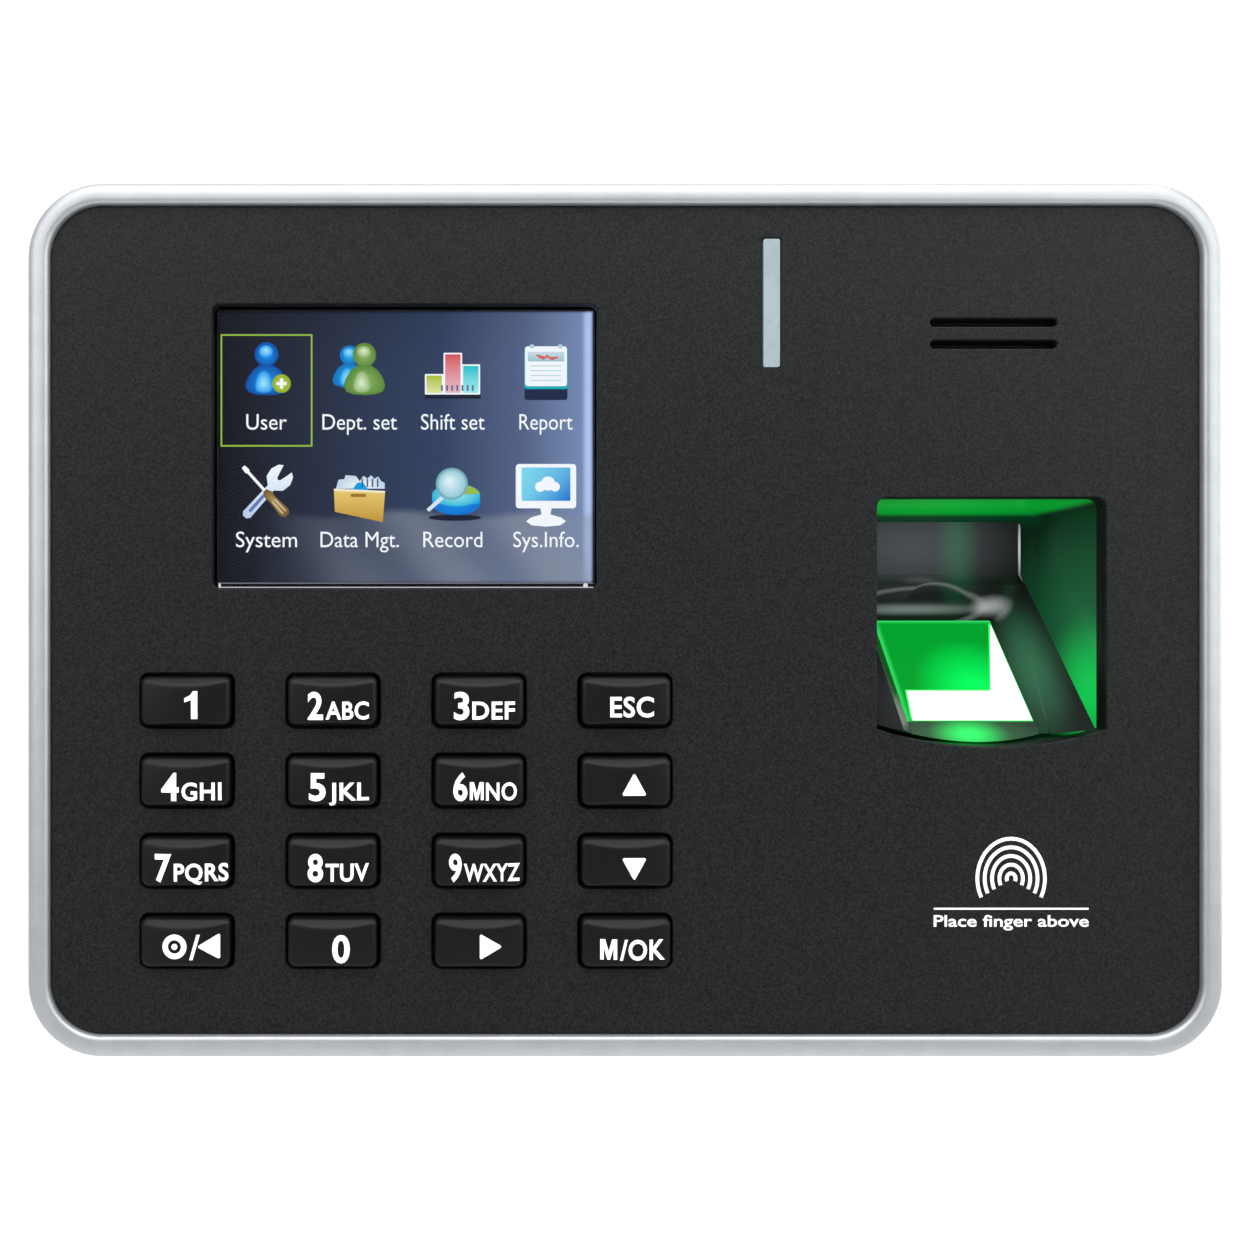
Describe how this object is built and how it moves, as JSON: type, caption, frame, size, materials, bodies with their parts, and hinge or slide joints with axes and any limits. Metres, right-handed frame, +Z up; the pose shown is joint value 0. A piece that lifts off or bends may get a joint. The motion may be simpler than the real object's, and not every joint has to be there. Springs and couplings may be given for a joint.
{
  "type": "fingerprint scanner terminal",
  "caption": "Wall-hung fingerprint terminal: black panel in a silver frame, with a colour display, a rubber keypad and a sloped green-lit finger sensor.",
  "frame": {"origin": "middle of the wall plate's four screw holes, on the face that lies against the wall", "axes": "+Y into the wall, -Y out of the front panel towards the user, +X to the right as the user sees it, +Z up"},
  "size_m": [0.183, 0.0393, 0.134],
  "materials": {
    "panel_plastic": "fine-grained charcoal plastic",
    "frame_silver": "satin silver paint",
    "cover_plastic": "black, fine texture",
    "plate_steel": "zinc-plated sheet steel",
    "screw_steel": "plain steel",
    "steel_sheet": "tinned sheet steel",
    "cell_steel": "polished steel",
    "label": "blank silver-white label",
    "window_glass": "clear acrylic",
    "display_glass": "lit colour display",
    "black_foam": "soft foam",
    "flex_film": "amber film",
    "ribbon": "white flat cable",
    "circuit_board": "green solder mask",
    "gold_contact": "gold-plated",
    "key_rubber": "satin black with white legends",
    "mat_rubber": "dull silicone",
    "well_plastic": "glossy black, lit green",
    "guide_plastic": "glossy black",
    "sensor_glass": "polished, lit green",
    "led_green": "lit lamp",
    "lens_barrel": "black",
    "light_guide": "milky acrylic",
    "speaker_paper": "coated paper",
    "wire_red": "insulated wire",
    "chip_black": "moulded epoxy",
    "connector_ivory": "ivory nylon",
    "usb_white": "white nylon",
    "reset_red": "dark red"
  },
  "bodies": {
    "housing": {"wall_plate": "plate_steel", "plate_lock_screw": "screw_steel", "rear_cover": "cover_plastic", "bezel_frame": "frame_silver", "front_panel": "panel_plastic", "housing_screws": "screw_steel", "board_screws": "screw_steel", "rating_label": "label", "display_window": "window_glass", "display_gasket": "black_foam", "display_panel": "display_glass", "display_frame": "steel_sheet", "display_flex": "flex_film", "keypad_mat": "mat_rubber", "keypad_board": "circuit_board", "keypad_contacts": "gold_contact", "keypad_ribbon": "ribbon", "sensor_well": "well_plastic", "finger_guide": "guide_plastic", "sensor_prism": "sensor_glass", "sensor_led_board": "circuit_board", "sensor_leds": "led_green", "sensor_lens": "lens_barrel", "sensor_camera_board": "circuit_board", "sensor_cable": "ribbon", "status_light_guide": "light_guide", "status_led_board": "circuit_board", "speaker_frame": "steel_sheet", "speaker_cone": "speaker_paper", "speaker_gasket": "black_foam", "speaker_lead": "wire_red", "main_board": "circuit_board", "main_chips": "chip_black", "board_connectors": "connector_ivory", "power_jack": "chip_black", "power_jack_pin": "steel_sheet", "ethernet_jack": "steel_sheet", "usb_port": "steel_sheet", "usb_tongue": "usb_white", "coin_cell_holder": "chip_black", "coin_cell": "cell_steel", "reset_switch": "steel_sheet"},
    "key_1": {"key_1": "key_rubber"},
    "key_2": {"key_2": "key_rubber"},
    "key_3": {"key_3": "key_rubber"},
    "key_esc": {"key_esc": "key_rubber"},
    "key_4": {"key_4": "key_rubber"},
    "key_5": {"key_5": "key_rubber"},
    "key_6": {"key_6": "key_rubber"},
    "key_up": {"key_up": "key_rubber"},
    "key_7": {"key_7": "key_rubber"},
    "key_8": {"key_8": "key_rubber"},
    "key_9": {"key_9": "key_rubber"},
    "key_down": {"key_down": "key_rubber"},
    "key_left": {"key_left": "key_rubber"},
    "key_0": {"key_0": "key_rubber"},
    "key_right": {"key_right": "key_rubber"},
    "key_ok": {"key_ok": "key_rubber"},
    "reset_button": {"reset_button": "reset_red"}
  },
  "joints": [
    {"name": "key_1_press", "type": "slide", "parent": "housing", "child": "key_1", "axis": [0, 1, 0], "range_m": [0, 0.001], "stiffness_N_per_m": 800, "springref_m": -0.0008},
    {"name": "key_2_press", "type": "slide", "parent": "housing", "child": "key_2", "axis": [0, 1, 0], "range_m": [0, 0.001], "stiffness_N_per_m": 800, "springref_m": -0.0008},
    {"name": "key_3_press", "type": "slide", "parent": "housing", "child": "key_3", "axis": [0, 1, 0], "range_m": [0, 0.001], "stiffness_N_per_m": 800, "springref_m": -0.0008},
    {"name": "key_esc_press", "type": "slide", "parent": "housing", "child": "key_esc", "axis": [0, 1, 0], "range_m": [0, 0.001], "stiffness_N_per_m": 800, "springref_m": -0.0008},
    {"name": "key_4_press", "type": "slide", "parent": "housing", "child": "key_4", "axis": [0, 1, 0], "range_m": [0, 0.001], "stiffness_N_per_m": 800, "springref_m": -0.0008},
    {"name": "key_5_press", "type": "slide", "parent": "housing", "child": "key_5", "axis": [0, 1, 0], "range_m": [0, 0.001], "stiffness_N_per_m": 800, "springref_m": -0.0008},
    {"name": "key_6_press", "type": "slide", "parent": "housing", "child": "key_6", "axis": [0, 1, 0], "range_m": [0, 0.001], "stiffness_N_per_m": 800, "springref_m": -0.0008},
    {"name": "key_up_press", "type": "slide", "parent": "housing", "child": "key_up", "axis": [0, 1, 0], "range_m": [0, 0.001], "stiffness_N_per_m": 800, "springref_m": -0.0008},
    {"name": "key_7_press", "type": "slide", "parent": "housing", "child": "key_7", "axis": [0, 1, 0], "range_m": [0, 0.001], "stiffness_N_per_m": 800, "springref_m": -0.0008},
    {"name": "key_8_press", "type": "slide", "parent": "housing", "child": "key_8", "axis": [0, 1, 0], "range_m": [0, 0.001], "stiffness_N_per_m": 800, "springref_m": -0.0008},
    {"name": "key_9_press", "type": "slide", "parent": "housing", "child": "key_9", "axis": [0, 1, 0], "range_m": [0, 0.001], "stiffness_N_per_m": 800, "springref_m": -0.0008},
    {"name": "key_down_press", "type": "slide", "parent": "housing", "child": "key_down", "axis": [0, 1, 0], "range_m": [0, 0.001], "stiffness_N_per_m": 800, "springref_m": -0.0008},
    {"name": "key_left_press", "type": "slide", "parent": "housing", "child": "key_left", "axis": [0, 1, 0], "range_m": [0, 0.001], "stiffness_N_per_m": 800, "springref_m": -0.0008},
    {"name": "key_0_press", "type": "slide", "parent": "housing", "child": "key_0", "axis": [0, 1, 0], "range_m": [0, 0.001], "stiffness_N_per_m": 800, "springref_m": -0.0008},
    {"name": "key_right_press", "type": "slide", "parent": "housing", "child": "key_right", "axis": [0, 1, 0], "range_m": [0, 0.001], "stiffness_N_per_m": 800, "springref_m": -0.0008},
    {"name": "key_ok_press", "type": "slide", "parent": "housing", "child": "key_ok", "axis": [0, 1, 0], "range_m": [0, 0.001], "stiffness_N_per_m": 800, "springref_m": -0.0008},
    {"name": "reset_press", "type": "slide", "parent": "housing", "child": "reset_button", "axis": [0, 0, 1], "range_m": [0, 0.0005], "stiffness_N_per_m": 1000, "springref_m": -0.001}
  ]
}
